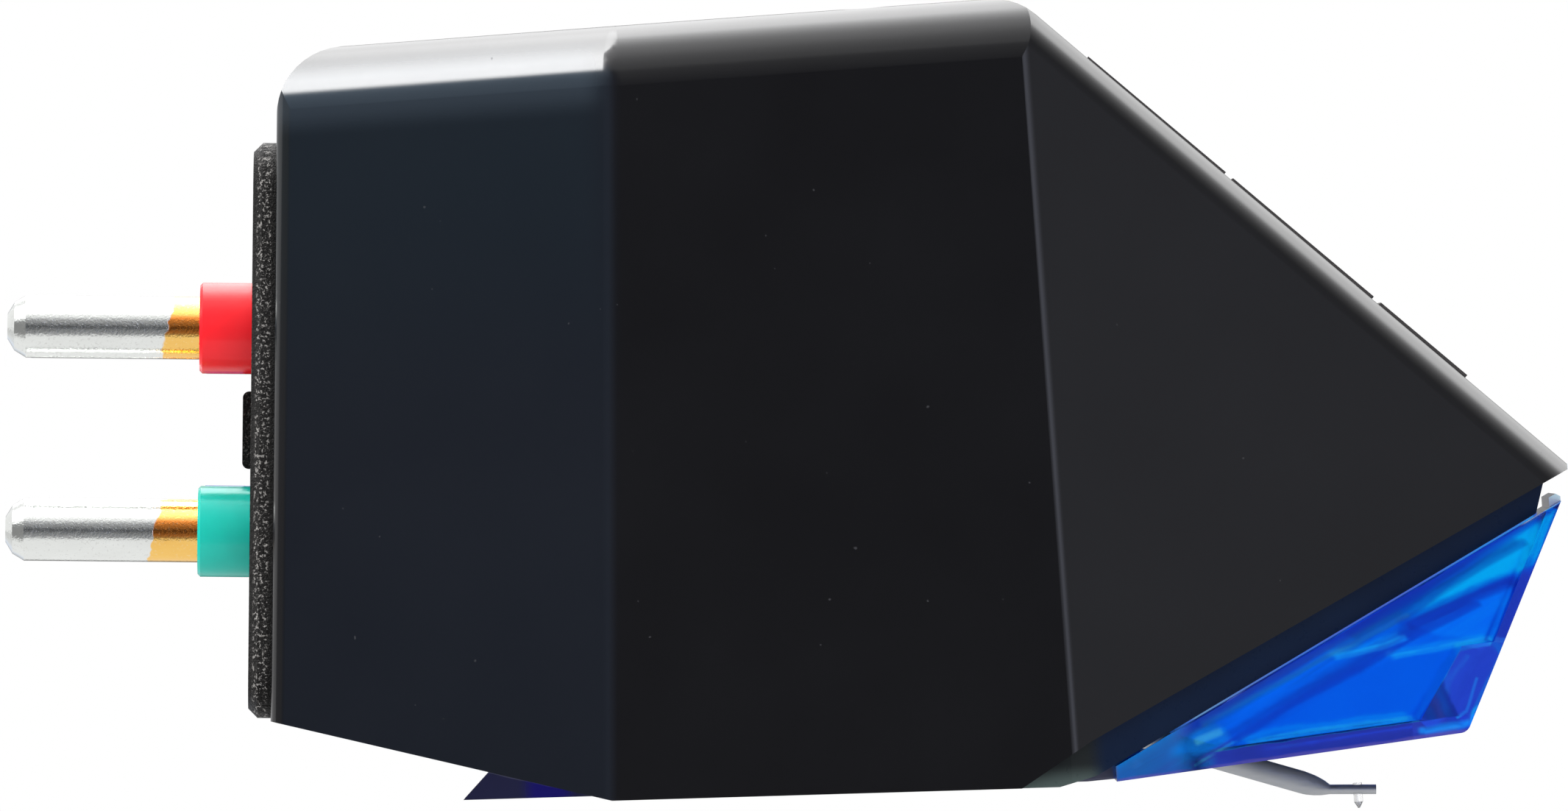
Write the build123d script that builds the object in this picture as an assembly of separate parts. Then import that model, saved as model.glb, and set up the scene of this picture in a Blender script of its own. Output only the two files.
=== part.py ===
"""Moving magnet phono cartridge with a plug-in stylus.

Millimetres and degrees. +X is the front, +Y the left channel's side and +Z up. The origin is on the
mounting face, midway between the two tapped holes.
"""

from math import atan2, cos, degrees, hypot, radians, sin, tan
import os

from build123d import *

# Housing outline
BODY_WIDTH = 17.0
TOP_FRONT_X = 3.26
FRONT_SLOPE = 44.15
REAR_X = -12.65
REAR_LEAN = 4.7
FRONT_RIDGE_X = 3.4
FRONT_TAPER = 20.0
REAR_RIDGE_X = -5.42
RIDGE_LEAN = 4.1
REAR_TAPER = 15.0
BODY_HEIGHT = 16.6
BOTTOM_DIP = 2.4
REAR_CHAMFER = 17.0
FRONT_EDGE_LIFT = 0.37
UNDER_RISE = 25.4
TOE_SETBACK = 1.21
KNEE_REACH = 0.36

# Housing rounding and walls
TOP_EDGE_R = 1.3
SLOPE_EDGE_R = 0.85
TOP_CORNER_R = 1.4
REAR_TOP_R = 1.5
REAR_EDGE_R = 0.4
FRONT_RIDGE_R = 0.5
REAR_RIDGE_R = 1.5
NOSE_FLAT = 0.08
WALL = 0.6
TOP_WALL = 1.2
FIT = 0.05
PRESS_GAP = 0.02
OPENING_SETBACK = 0.3

# Mounting holes
MOUNT_PITCH = 12.7
TAP_R = 1.03
TAP_DEPTH = 5.0
BOSS_R = 1.9
BOSS_FLOOR = 0.8

# Plain raised pads on the front slope
PAD_START = 2.03
PAD_SPLITS = (6.12, 10.3)
PAD_END = 12.74
PAD_GAP = 0.2
PAD_WIDTH = 5.0
PAD_PROUD = 0.1

# Terminal plate and pins
PLATE_WIDTH = 12.0
PLATE_TOP = 1.98
PLATE_FOOT = 0.06
PLATE_THICKNESS = 0.5
PLATE_RIM = 0.7
PLATE_CORNER_R = 1.0
PLATE_EDGE = 0.2
PLUG_DEPTH = 0.9
BAR_HEIGHT = 1.68
BAR_WIDTH = 4.0
BAR_PROUD = 0.23
BAR_EASE = 0.14
PIN_R = 0.675
PIN_ROOT_R = 0.5
PIN_PITCH_Y = 6.0
PIN_PITCH_Z = 4.39
PIN_EXPOSED = 4.16
PIN_STUB = 0.5
PIN_TIP_R = 0.4
PIN_TIP_EASE = 0.15
SLEEVE_R = 0.985
SLEEVE_LENGTH = 1.155
SLEEVE_EDGE = 0.06

# Chassis
JOINT_RISE = 26.5
JOINT_DROP = 0.71
NOSE_PLATE = 1.5
FLOOR_THICKNESS = 2.0
TOE_EASE = 0.4
NOSE_EASE = 0.2

# Stylus holder
JOINT_GAP = 0.04
WEDGE_INSET = 0.12
WEDGE_DRAFT = 5.0
WEDGE_SETBACK = 0.273
WEDGE_REAR_GAP = 0.84
WEDGE_REAR_EDGE = 0.326
WEDGE_RAKE = 26.2
WEDGE_BOTTOM_RISE = 3.7
WEDGE_WALL = 0.5
WEDGE_FLOOR = 0.42
WEDGE_FRONT_WALL = 0.26
WEDGE_TOE_R = 0.25
HEEL_HEIGHT = 1.45
HEEL_LEDGE = 0.7
HEEL_RUN = 1.0
LIP_HEIGHT = 0.19
LIP_EASE = 0.1
LIP_GAP = 0.1
SLED_WIDTH = 7.0
SLED_THICKNESS = 0.75
SLED_RECESS = 0.06
SLED_TAIL = 3.23
SLED_LAP = 0.6
TOWER_WIDTH = 3.8
TOWER_WALL = 0.4
SLOT_WIDTH = 2.6
SLOT_MARGIN = 0.8

# Moving system
TIP_REACH = 9.5
TIP_PROUD = 1.4
TIP_LENGTH = 0.3
TIP_R = 0.1
TIP_END_R = 0.02
TIP_CONE = 0.135
TIP_TOP = 0.04
CANTILEVER_DIP = 20.0
CANTILEVER_LENGTH = 6.7
CANTILEVER_R = 0.245
CANTILEVER_BORE = 0.17
FLAT_THICKNESS = 0.21
FLAT_WIDTH = 0.6
FLAT_DIP = 4.0
FLAT_LENGTH = 1.0
FLAT_NOSE = 0.4
NECK_LENGTH = 0.6
NECK_DROP = 0.2
TUBE_R = 0.9
TUBE_BORE = 0.65
TUBE_FRONT = 1.75
TUBE_REAR = 2.2
MAGNET_R = 0.42
MAGNET_LENGTH = 1.6
DAMPER_R = 0.6
DAMPER_THICKNESS = 0.7
WIRE_R = 0.05
WIRE_GAP = 0.005
DAMPER_BORE = 0.15
BORE_END = 0.4
MOVING_GAP = 0.1

# Generator
POLE_THICKNESS = 0.4
POLE_WIDTH = 0.5
POLE_GAP = 0.12
POLE_SPREAD = 0.4
POLE_TIP = 0.5
POLE_LEAD = 0.3
COIL_LENGTH = 5.6
CORE_R = 0.75
FLANGE_THICKNESS = 0.4
FLANGE_GAP = 0.15
COIL_GAP = 0.2
WINDING_STEP = 0.15
YOKE_THICKNESS = 0.4
YOKE_WIDTH = 0.7
YOKE_GAP = 0.1
YOKE_CLEAR = 0.2
SHIELD_THICKNESS = 0.25
LEAD_R = 0.08
LEAD_SIDES = 8

# Larger than the part, for blocks that cut right through it
REACH = 60.0


def z_at(line, x):
    """Height of a side-view line at x. A line is a point and the slope it climbs at."""
    return line[1] + (x - line[0]) * tan(radians(line[2]))


def meet(a, b):
    """Point where two side-view lines cross."""
    rise_a = tan(radians(a[2]))
    rise_b = tan(radians(b[2]))
    x = (b[1] - a[1] + rise_a * a[0] - rise_b * b[0]) / (rise_a - rise_b)
    return x, z_at(a, x)


def raised(line, up):
    """The same line moved square to itself."""
    turn = radians(line[2])
    return line[0] - up * sin(turn), line[1] + up * cos(turn), line[2]


def on(line, x):
    """Point of a side-view line."""
    return x, z_at(line, x)


def side_prism(points, width, corner=None, radius=0.0):
    """Solid with a side-view outline, centred across the body. One corner of it may be rounded."""
    outline = make_face(Polyline(*points, close=True))
    if corner:
        outline = fillet(outline.vertices().sort_by_distance((*corner, 0))[0], radius)
    return extrude(Plane.XZ * outline, width / 2, both=True)


def block(a, b, radius=0.0):
    """Large block inside two outward planes, with their common edge rounded."""
    edge = a.z_dir.cross(b.z_dir).normalized()
    into_a = edge.cross(a.z_dir)
    if into_a.dot(b.z_dir) > 0:
        into_a = into_a * -1
    into_b = edge.cross(b.z_dir)
    if into_b.dot(a.z_dir) > 0:
        into_b = into_b * -1
    travel = (b.origin - a.origin).dot(b.z_dir) / into_a.dot(b.z_dir)
    section = Plane(origin=a.origin + into_a * travel, x_dir=into_a, z_dir=edge)
    inward = (a.z_dir + b.z_dir).normalized() * -REACH
    corners = [Vector(0, 0, 0)]
    for way in (into_a * REACH, into_a * REACH + inward, into_b * REACH + inward, into_b * REACH):
        corners.append(Vector(way.dot(section.x_dir), way.dot(section.y_dir), 0))
    outline = make_face(Polyline(*corners, close=True))
    if radius:
        outline = fillet(outline.vertices().sort_by_distance((0, 0, 0))[0], radius)
    return extrude(section * outline, REACH, both=True)


# Heights that follow the body's height
FRONT_WALL_HEIGHT = BODY_HEIGHT - FRONT_EDGE_LIFT
TIP_DROP = BODY_HEIGHT + TIP_PROUD
TOE_X = FRONT_RIDGE_X - TOE_SETBACK

# Side-view lines of the housing
BOTTOM_RIDGE_X = REAR_RIDGE_X - BODY_HEIGHT * tan(radians(RIDGE_LEAN))
BOTTOM = (BOTTOM_RIDGE_X, -BODY_HEIGHT, -BOTTOM_DIP)
CHAMFER = (BOTTOM_RIDGE_X, -BODY_HEIGHT, -REAR_CHAMFER)
SLOPE = (TOP_FRONT_X, 0.0, -FRONT_SLOPE)
UNDER = (FRONT_RIDGE_X, -FRONT_WALL_HEIGHT, UNDER_RISE)
JOINT_START = raised(UNDER, -JOINT_DROP)
JOINT = (JOINT_START[0], JOINT_START[1], JOINT_RISE)
NOSE = meet(SLOPE, UNDER)
OPENING_REAR_X = BOTTOM_RIDGE_X + OPENING_SETBACK

# Rear face: across, down the face and out of it
LEAN = radians(REAR_LEAN)
REAR = Plane(origin=(REAR_X, 0, 0), x_dir=(0, 1, 0), z_dir=(-cos(LEAN), 0, sin(LEAN)))
REAR_FOOT = meet((REAR_X, 0.0, 90 - REAR_LEAN), CHAMFER)
REAR_LENGTH = hypot(REAR_FOOT[0] - REAR_X, REAR_FOOT[1])
PLATE_HEIGHT = REAR_LENGTH - PLATE_TOP - PLATE_FOOT
PLATE_MIDDLE = PLATE_TOP + PLATE_HEIGHT / 2
PIN_UPPER = PLATE_MIDDLE - PIN_PITCH_Z / 2
PIN_LOWER = PLATE_MIDDLE + PIN_PITCH_Z / 2
PIN_INNER = PLUG_DEPTH + PIN_STUB

# Stylus holder lines
SLED_REAR_X = BOTTOM_RIDGE_X - SLED_TAIL
SLED_BOTTOM = raised(BOTTOM, SLED_RECESS)
SLED_TOP = raised(SLED_BOTTOM, SLED_THICKNESS)
WEDGE_TOP = raised(JOINT, -JOINT_GAP)
WEDGE_TIP_X = NOSE[0] - WEDGE_SETBACK
WEDGE_TIP = on(WEDGE_TOP, WEDGE_TIP_X)
WEDGE_REAR_X = FRONT_RIDGE_X + WEDGE_REAR_GAP
WEDGE_BOTTOM = (WEDGE_REAR_X, z_at(WEDGE_TOP, WEDGE_REAR_X) - WEDGE_REAR_EDGE, WEDGE_BOTTOM_RISE)
WEDGE_FRONT = (WEDGE_TIP[0], WEDGE_TIP[1], 90 - WEDGE_RAKE)
WEDGE_TOE = meet(WEDGE_BOTTOM, WEDGE_FRONT)
SLOT_FRONT_X = TIP_REACH + SLOT_MARGIN

# Cantilever: flat end, bend, straight run and pivot
DIP = radians(CANTILEVER_DIP)
FLAT = (TIP_REACH, -TIP_DROP + TIP_LENGTH + FLAT_THICKNESS / 2, -FLAT_DIP)
FLAT_FRONT = on(FLAT, TIP_REACH + FLAT_NOSE)
FLAT_REAR = on(FLAT, FLAT_FRONT[0] - FLAT_LENGTH)
BEND = (FLAT_REAR[0] - NECK_LENGTH, FLAT_REAR[1] + NECK_DROP)
ELBOW = meet((BEND[0], BEND[1], -CANTILEVER_DIP), FLAT)
PIVOT = (BEND[0] - CANTILEVER_LENGTH * cos(DIP), BEND[1] + CANTILEVER_LENGTH * sin(DIP))
AXIS = Plane(origin=(PIVOT[0], 0, PIVOT[1]), x_dir=(0, 1, 0), z_dir=(cos(DIP), 0, -sin(DIP)))
AXIS_LINE = (PIVOT[0], PIVOT[1], -CANTILEVER_DIP)
MAGNET_START = DAMPER_THICKNESS / 2 + MOVING_GAP
MAGNET_MIDDLE = MAGNET_START + MAGNET_LENGTH / 2
TOWER_FRONT_X = PIVOT[0] + TUBE_FRONT * cos(DIP)
TOWER_REAR_X = PIVOT[0] - (TUBE_REAR + TOWER_WALL) * cos(DIP)
TOWER_TOP = raised(AXIS_LINE, TUBE_R + TOWER_WALL)
TOWER_CREST = on(TOWER_TOP, TOWER_REAR_X)
CREST_LINE = (TOWER_CREST[0], TOWER_CREST[1], -BOTTOM_DIP)

# Generator layout, from the rear plate forwards
POLE_Y = TOWER_WIDTH / 2 + POLE_GAP + POLE_THICKNESS / 2
FLANGE_R = POLE_Y - FLANGE_GAP
COIL_PITCH = 2 * FLANGE_R + COIL_GAP
YOKE_REAR_X = REAR_X - PIN_UPPER * sin(LEAN) + PIN_INNER * cos(LEAN) + YOKE_CLEAR
YOKE_STEP = YOKE_THICKNESS + YOKE_GAP
COIL_REAR_X = YOKE_REAR_X + 2 * YOKE_STEP + FIT
COIL_FRONT_X = COIL_REAR_X + COIL_LENGTH
FLOOR_TOP_Z = z_at(BOTTOM, OPENING_REAR_X) + FLOOR_THICKNESS
COIL_LOWER_Z = FLOOR_TOP_Z + SHIELD_THICKNESS + FIT + FLANGE_R
COIL_UPPER_Z = COIL_LOWER_Z + COIL_PITCH
MAGNET_X = PIVOT[0] + MAGNET_MIDDLE * cos(DIP)
MAGNET_Z = PIVOT[1] - MAGNET_MIDDLE * sin(DIP)
CHASSIS_SLOT = 2 * (POLE_Y + POLE_THICKNESS / 2 + FIT)


def facets(inset, top_inset):
    """Outward planes of the housing, moved inwards."""
    half = BODY_WIDTH / 2
    taper = radians(FRONT_TAPER)
    back = radians(REAR_TAPER)
    lean = radians(RIDGE_LEAN)
    fall = radians(FRONT_SLOPE)
    planes = {
        "top": Plane(origin=(0, 0, 0), z_dir=(0, 0, 1)).offset(-top_inset),
        "slope": Plane(origin=(TOP_FRONT_X, 0, 0), z_dir=(sin(fall), 0, cos(fall))).offset(-inset),
        "rear": REAR.offset(-inset),
    }
    for name, side in (("left", 1), ("right", -1)):
        front = (sin(taper), side * cos(taper), 0)
        rear = (-cos(lean) * sin(back), side * cos(lean) * cos(back), sin(lean) * sin(back))
        planes[name] = Plane(origin=(0, side * half, 0), z_dir=(0, side, 0)).offset(-inset)
        planes["front_" + name] = Plane(origin=(FRONT_RIDGE_X, side * half, 0), z_dir=front).offset(-inset)
        planes["rear_" + name] = Plane(origin=(REAR_RIDGE_X, side * half, 0), z_dir=rear).offset(-inset)
    return planes


def crown():
    """Upper block of the housing: its rear ridges and the edge round its top are rounded in one run."""
    at = facets(0.0, 0.0)
    solid = Box(REACH, BODY_WIDTH, REACH, align=(Align.MIN, Align.CENTER, Align.MAX))
    solid = Pos(REAR_FOOT[0] - TOP_EDGE_R, 0, 0) * solid
    for side in ("left", "right"):
        solid = solid & block(at[side], at["rear_" + side], REAR_RIDGE_R)
    rim = solid.faces().sort_by(Axis.Z)[-1].edges()
    ends = rim.filter_by(Axis.Y)
    return fillet([edge for edge in rim if edge not in ends], TOP_EDGE_R)


def housing_solid():
    """The whole housing before it is hollowed."""
    at = facets(0.0, 0.0)
    knee = on(UNDER, FRONT_RIDGE_X + KNEE_REACH)
    outline = [
        (-REACH, z_at(SLOPE, -REACH / 2)),
        on(SLOPE, -REACH / 2),
        on(SLOPE, NOSE[0] - NOSE_FLAT),
        on(UNDER, NOSE[0] - NOSE_FLAT),
        knee,
        on(BOTTOM, TOE_X),
        (BOTTOM_RIDGE_X, -BODY_HEIGHT),
        on(CHAMFER, -REACH),
    ]
    solid = side_prism(outline, BODY_WIDTH) & crown()
    solid = solid & block(at["top"], at["slope"], TOP_CORNER_R)
    solid = solid & block(at["top"], at["rear"], REAR_TOP_R)
    for side in ("left", "right"):
        solid = solid & block(at[side], at["front_" + side], FRONT_RIDGE_R)
        solid = solid & block(at["rear"], at["rear_" + side], REAR_EDGE_R)
        solid = solid & block(at["slope"], at["front_" + side], SLOPE_EDGE_R)
    return solid


def housing_cavity():
    """Room inside the housing, open below from the rear ridge forwards."""
    at = facets(WALL, TOP_WALL)
    inner_chamfer = raised(CHAMFER, WALL)
    outline = [
        (-REACH, REACH),
        (REACH, REACH),
        (REACH, -REACH),
        (OPENING_REAR_X, -REACH),
        on(inner_chamfer, OPENING_REAR_X),
        on(inner_chamfer, -REACH),
    ]
    room = side_prism(outline, BODY_WIDTH)
    for side in ("left", "right"):
        room = room & block(at["top"], at[side])
        room = room & block(at["slope"], at["front_" + side])
        room = room & block(at["rear"], at["rear_" + side])
    return room


def sled_channel():
    """Clear way for the runner of the stylus holder."""
    roof = raised(SLED_TOP, FIT)
    outline = [(-REACH, -REACH), (REACH, -REACH), on(roof, REACH), on(roof, -REACH)]
    return side_prism(outline, SLED_WIDTH + 2 * FIT)


def tower_way():
    """Clear way for the tower of the stylus holder, out to the front."""
    roof = raised(CREST_LINE, FIT)
    rear = TOWER_REAR_X - FIT
    outline = [(rear, -REACH), (REACH, -REACH), on(roof, REACH), on(roof, rear)]
    return side_prism(outline, CHASSIS_SLOT)


def body_shell():
    outer = housing_solid()
    shell = outer - housing_cavity()
    for side in (1, -1):
        place = Pos(0, side * MOUNT_PITCH / 2, 0)
        boss_depth = TAP_DEPTH + BOSS_FLOOR
        boss = place * Cylinder(BOSS_R, boss_depth, align=(Align.CENTER, Align.CENTER, Align.MAX))
        shell = shell + (boss & outer)
        shell = shell - place * Cylinder(TAP_R, TAP_DEPTH, align=(Align.CENTER, Align.CENTER, Align.MAX))
    fall = radians(FRONT_SLOPE)
    down_slope = (cos(fall), 0, -sin(fall))
    face = Plane(origin=(TOP_FRONT_X, 0, 0), x_dir=down_slope, z_dir=(sin(fall), 0, cos(fall)))
    starts = (PAD_START,) + PAD_SPLITS
    ends = PAD_SPLITS + (PAD_END + PAD_GAP,)
    for start, end in zip(starts, ends):
        length = end - PAD_GAP - start
        shell = shell + face * Pos(start + length / 2, 0, 0) * Box(length, PAD_WIDTH, 2 * PAD_PROUD)
    window_width = PLATE_WIDTH - 2 * PLATE_RIM
    window_height = PLATE_HEIGHT - 2 * PLATE_RIM
    window = REAR * Pos(0, PLATE_MIDDLE, 0) * Box(window_width, window_height, 4 * WALL)
    return shell - window - sled_channel()


def chassis():
    at = facets(WALL + FIT, TOP_WALL)
    inner_slope = raised(SLOPE, -WALL - FIT)
    plate_top = raised(JOINT, NOSE_PLATE)
    floor_top = (0.0, FLOOR_TOP_Z, 0.0)
    nose_foot = meet(inner_slope, UNDER)
    toe = meet(BOTTOM, JOINT)
    outline = [
        on(BOTTOM, OPENING_REAR_X + FIT),
        on(BOTTOM, toe[0] - TOE_EASE),
        on(JOINT, toe[0] + TOE_EASE),
        on(JOINT, nose_foot[0] - NOSE_EASE),
        nose_foot,
        meet(inner_slope, plate_top),
        meet(plate_top, floor_top),
        (OPENING_REAR_X + FIT, FLOOR_TOP_Z),
    ]
    solid = side_prism(outline, BODY_WIDTH)
    for side in ("left", "right"):
        solid = solid & block(at[side], at["front_" + side])
    return solid - sled_channel() - tower_way()


def terminal_plate():
    flange = extrude(RectangleRounded(PLATE_WIDTH, PLATE_HEIGHT, PLATE_CORNER_R), PLATE_THICKNESS)
    flange = chamfer(flange.faces().sort_by(Axis.Z)[-1].edges(), PLATE_EDGE)
    plug_width = PLATE_WIDTH - 2 * PLATE_RIM - 2 * FIT
    plug_height = PLATE_HEIGHT - 2 * PLATE_RIM - 2 * FIT
    plug = Box(plug_width, plug_height, PLUG_DEPTH, align=(Align.CENTER, Align.CENTER, Align.MAX))
    bar = Box(BAR_WIDTH, BAR_HEIGHT, 2 * BAR_PROUD)
    bar = fillet(bar.faces().sort_by(Axis.Z)[-1].edges().filter_by(Axis.X), BAR_EASE)
    bar = Pos(0, 0, PLATE_THICKNESS) * bar
    plate = flange + plug + bar
    for y in (-PIN_PITCH_Y / 2, PIN_PITCH_Y / 2):
        for drop in (-PIN_PITCH_Z / 2, PIN_PITCH_Z / 2):
            plate = plate - Pos(y, drop, 0) * Cylinder(PIN_ROOT_R + PRESS_GAP, 4 * PLUG_DEPTH)
    return REAR * Pos(0, PLATE_MIDDLE, 0) * plate


def pin(y, drop):
    """Terminal pin, turned with a rounded end and a thinner root through its collar and the plate."""
    shoulder = PIN_INNER + PLATE_THICKNESS + SLEEVE_LENGTH
    end = shoulder + PIN_EXPOSED
    profile = Polyline(
        (0, 0),
        (PIN_ROOT_R, 0),
        (PIN_ROOT_R, shoulder),
        (PIN_R, shoulder),
        (PIN_R, end - PIN_TIP_R),
        (PIN_R - PIN_TIP_EASE, end - PIN_TIP_EASE),
        (PIN_R - PIN_TIP_R, end),
        (0, end),
        close=True,
    )
    turned = revolve(Plane.XZ * make_face(profile), Axis.Z)
    return REAR * Pos(y, drop, -PIN_INNER) * turned


def sleeve(y, drop):
    """Coloured collar at the root of a pin."""
    ring = Cylinder(SLEEVE_R, SLEEVE_LENGTH, align=(Align.CENTER, Align.CENTER, Align.MIN))
    ring = chamfer(ring.edges().sort_by(Axis.Z)[-1], SLEEVE_EDGE)
    ring = ring - Cylinder(PIN_ROOT_R + PRESS_GAP, 4 * SLEEVE_LENGTH)
    return REAR * Pos(y, drop, PLATE_THICKNESS) * ring


def coil_plane(y, z):
    """Frame of one coil: across, up and forwards from its rear flange."""
    return Plane(origin=(COIL_REAR_X, y, z), x_dir=(0, 1, 0), z_dir=(1, 0, 0))


def bobbin(y, z):
    base = (Align.CENTER, Align.CENTER, Align.MIN)
    flange = Cylinder(FLANGE_R, FLANGE_THICKNESS, align=base)
    spool = Cylinder(CORE_R, COIL_LENGTH, align=base)
    spool = spool + flange + Pos(0, 0, COIL_LENGTH - FLANGE_THICKNESS) * flange
    spool = spool - Box(POLE_THICKNESS + 2 * FIT, POLE_WIDTH + 2 * FIT, 4 * COIL_LENGTH)
    return coil_plane(y, z) * spool


def coil(y, z):
    """Winding between the flanges of a bobbin."""
    length = COIL_LENGTH - 2 * FLANGE_THICKNESS - 2 * PRESS_GAP
    base = (Align.CENTER, Align.CENTER, Align.MIN)
    winding = Cylinder(FLANGE_R - WINDING_STEP, length, align=base)
    winding = winding - Cylinder(CORE_R + PRESS_GAP, 4 * length)
    return coil_plane(y, z) * Pos(0, 0, FLANGE_THICKNESS + PRESS_GAP) * winding


def pole(y, z, tip_z, rear_x):
    """Flat pole piece: an arm through the coil, a leg and a tip beside the magnet."""
    half = POLE_WIDTH / 2
    arm = (0.0, z, 0.0)
    tip = (0.0, tip_z, 0.0)
    arm_end = COIL_FRONT_X + POLE_LEAD
    tip_start = MAGNET_X - POLE_TIP
    slant = degrees(atan2(tip_z - z, tip_start - arm_end))
    leg = (arm_end, z, slant)
    outline = [
        (rear_x, z - half),
        meet(raised(arm, -half), raised(leg, -half)),
        meet(raised(tip, -half), raised(leg, -half)),
        (MAGNET_X + POLE_TIP, tip_z - half),
        (MAGNET_X + POLE_TIP, tip_z + half),
        meet(raised(tip, half), raised(leg, half)),
        meet(raised(arm, half), raised(leg, half)),
        (rear_x, z + half),
    ]
    return Pos(0, y, 0) * side_prism(outline, POLE_THICKNESS)


def yoke(side, rear_x):
    """Bar behind the coils that joins one upper and one lower pole piece."""
    length = hypot(2 * POLE_Y, COIL_PITCH) + 2 * POLE_THICKNESS
    bar = Box(YOKE_THICKNESS, length, YOKE_WIDTH)
    turn = degrees(atan2(COIL_PITCH, 2 * POLE_Y)) * side
    middle = (COIL_LOWER_Z + COIL_UPPER_Z) / 2
    return Pos(rear_x + YOKE_THICKNESS / 2, 0, middle) * Rot(turn, 0, 0) * bar


def shield_can():
    """Folded sleeve of magnetic shielding around the four coils."""
    width = 2 * (POLE_Y + FLANGE_R + FIT)
    height = COIL_PITCH + 2 * (FLANGE_R + FIT)
    wall = 2 * SHIELD_THICKNESS
    sleeve_solid = Box(COIL_LENGTH, width + wall, height + wall) - Box(2 * COIL_LENGTH, width, height)
    middle = (COIL_LOWER_Z + COIL_UPPER_Z) / 2
    return Pos((COIL_REAR_X + COIL_FRONT_X) / 2, 0, middle) * sleeve_solid


def lead(y, drop, coil_z):
    """Fine wire from the inner end of a pin to the rear flange of its coil."""
    start = REAR.from_local_coords(Vector(y, drop, -PIN_INNER))
    run = (COIL_REAR_X - start.X) / 3
    out = REAR.from_local_coords(Vector(y, drop, -PIN_INNER - run))
    landing = coil_z + (CORE_R + FLANGE_R) / 2
    path = Polyline(
        (start.X, start.Y, start.Z),
        (out.X, out.Y, out.Z),
        (COIL_REAR_X - run, y, landing),
        (COIL_REAR_X, y, landing),
    )
    section = Plane(origin=path @ 0, z_dir=path % 0) * RegularPolygon(LEAD_R, LEAD_SIDES)
    return sweep(section, path, transition=Transition.RIGHT)


def wedge_planes(inset):
    """Tapered sides of the stylus wedge, drawn in towards the bottom."""
    taper = radians(FRONT_TAPER)
    draft = radians(WEDGE_DRAFT)
    planes = []
    for side in (1, -1):
        normal = (sin(taper) * cos(draft), side * cos(taper) * cos(draft), -sin(draft))
        origin = (FRONT_RIDGE_X, side * BODY_WIDTH / 2, NOSE[1])
        planes.append(Plane(origin=origin, z_dir=normal).offset(-inset))
    return planes


def stylus_holder():
    wedge_outline = [
        WEDGE_TIP,
        WEDGE_TOE,
        on(WEDGE_BOTTOM, WEDGE_REAR_X),
        on(WEDGE_TOP, WEDGE_REAR_X),
    ]
    wedge = side_prism(wedge_outline, BODY_WIDTH, WEDGE_TOE, WEDGE_TOE_R)
    wedge = wedge & block(*wedge_planes(WEDGE_INSET))
    floor = raised(WEDGE_BOTTOM, WEDGE_FLOOR)
    rear_end = meet(floor, WEDGE_TOP)[0]
    inner_front = raised(WEDGE_FRONT, WEDGE_FRONT_WALL)
    brow = meet(inner_front, WEDGE_TOP)
    ledge = raised(floor, HEEL_HEIGHT)
    ledge_front = meet(inner_front, ledge)
    ledge_rear = on(ledge, ledge_front[0] - HEEL_LEDGE)
    room_outline = [
        (brow[0], REACH),
        brow,
        ledge_front,
        ledge_rear,
        on(floor, ledge_rear[0] - HEEL_RUN),
        on(floor, rear_end),
        (rear_end, REACH),
    ]
    room = side_prism(room_outline, BODY_WIDTH) & block(*wedge_planes(WEDGE_INSET + WEDGE_WALL))
    wedge = wedge - room
    lip_rear = meet(raised(SLOPE, -WALL - FIT), UNDER)[0] + LIP_GAP
    lip_top = raised(WEDGE_TOP, LIP_HEIGHT)
    lip_outline = [
        on(WEDGE_TOP, lip_rear),
        on(lip_top, lip_rear),
        on(lip_top, WEDGE_TIP_X - LIP_EASE),
        on(raised(lip_top, -LIP_EASE), WEDGE_TIP_X),
        WEDGE_TIP,
    ]
    lip = side_prism(lip_outline, BODY_WIDTH) & block(*wedge_planes(WEDGE_INSET + WEDGE_WALL))
    sled_outline = [
        on(SLED_BOTTOM, SLED_REAR_X),
        on(SLED_BOTTOM, TOWER_FRONT_X),
        on(WEDGE_BOTTOM, WEDGE_REAR_X + SLED_LAP),
        on(WEDGE_TOP, WEDGE_REAR_X + SLED_LAP),
        on(SLED_TOP, TOWER_FRONT_X),
        on(SLED_TOP, SLED_REAR_X + SLED_THICKNESS),
    ]
    sled = side_prism(sled_outline, SLED_WIDTH)
    tower_outline = [
        on(SLED_BOTTOM, TOWER_REAR_X),
        on(SLED_BOTTOM, TOWER_FRONT_X),
        on(TOWER_TOP, TOWER_FRONT_X),
        TOWER_CREST,
    ]
    tower = side_prism(tower_outline, TOWER_WIDTH)
    holder = wedge + lip + sled + tower
    slot_middle = (TOWER_FRONT_X + SLOT_FRONT_X) / 2
    slot_length = SLOT_FRONT_X - TOWER_FRONT_X
    slot = Pos(slot_middle, 0, PIVOT[1]) * Box(slot_length, SLOT_WIDTH, 8 * TUBE_R)
    bore = along_axis(TUBE_R + PRESS_GAP, -2 * TUBE_REAR, 2 * TUBE_FRONT)
    return holder - slot - bore


def along_axis(radius, start, end):
    """Round piece on the cantilever's axis, measured from the pivot."""
    base = (Align.CENTER, Align.CENTER, Align.MIN)
    return AXIS * Pos(0, 0, start) * Cylinder(radius, end - start, align=base)


def suspension_tube():
    return along_axis(TUBE_R, -TUBE_REAR, TUBE_FRONT) - along_axis(TUBE_BORE, -REACH, REACH)


def wire_anchor():
    front = -DAMPER_THICKNESS / 2 - MOVING_GAP
    return along_axis(TUBE_BORE - WIRE_GAP, -TUBE_REAR, front) - along_axis(WIRE_R + WIRE_GAP, -REACH, REACH)


def tie_wire():
    return along_axis(WIRE_R, -TUBE_REAR, MAGNET_START + MAGNET_LENGTH / 4)


def damper():
    half = DAMPER_THICKNESS / 2
    return along_axis(DAMPER_R, -half, half) - along_axis(DAMPER_BORE, -REACH, REACH)


def magnet():
    end = MAGNET_START + MAGNET_LENGTH
    return along_axis(MAGNET_R, MAGNET_START, end) - along_axis(CANTILEVER_R + WIRE_GAP, -REACH, REACH)


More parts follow.
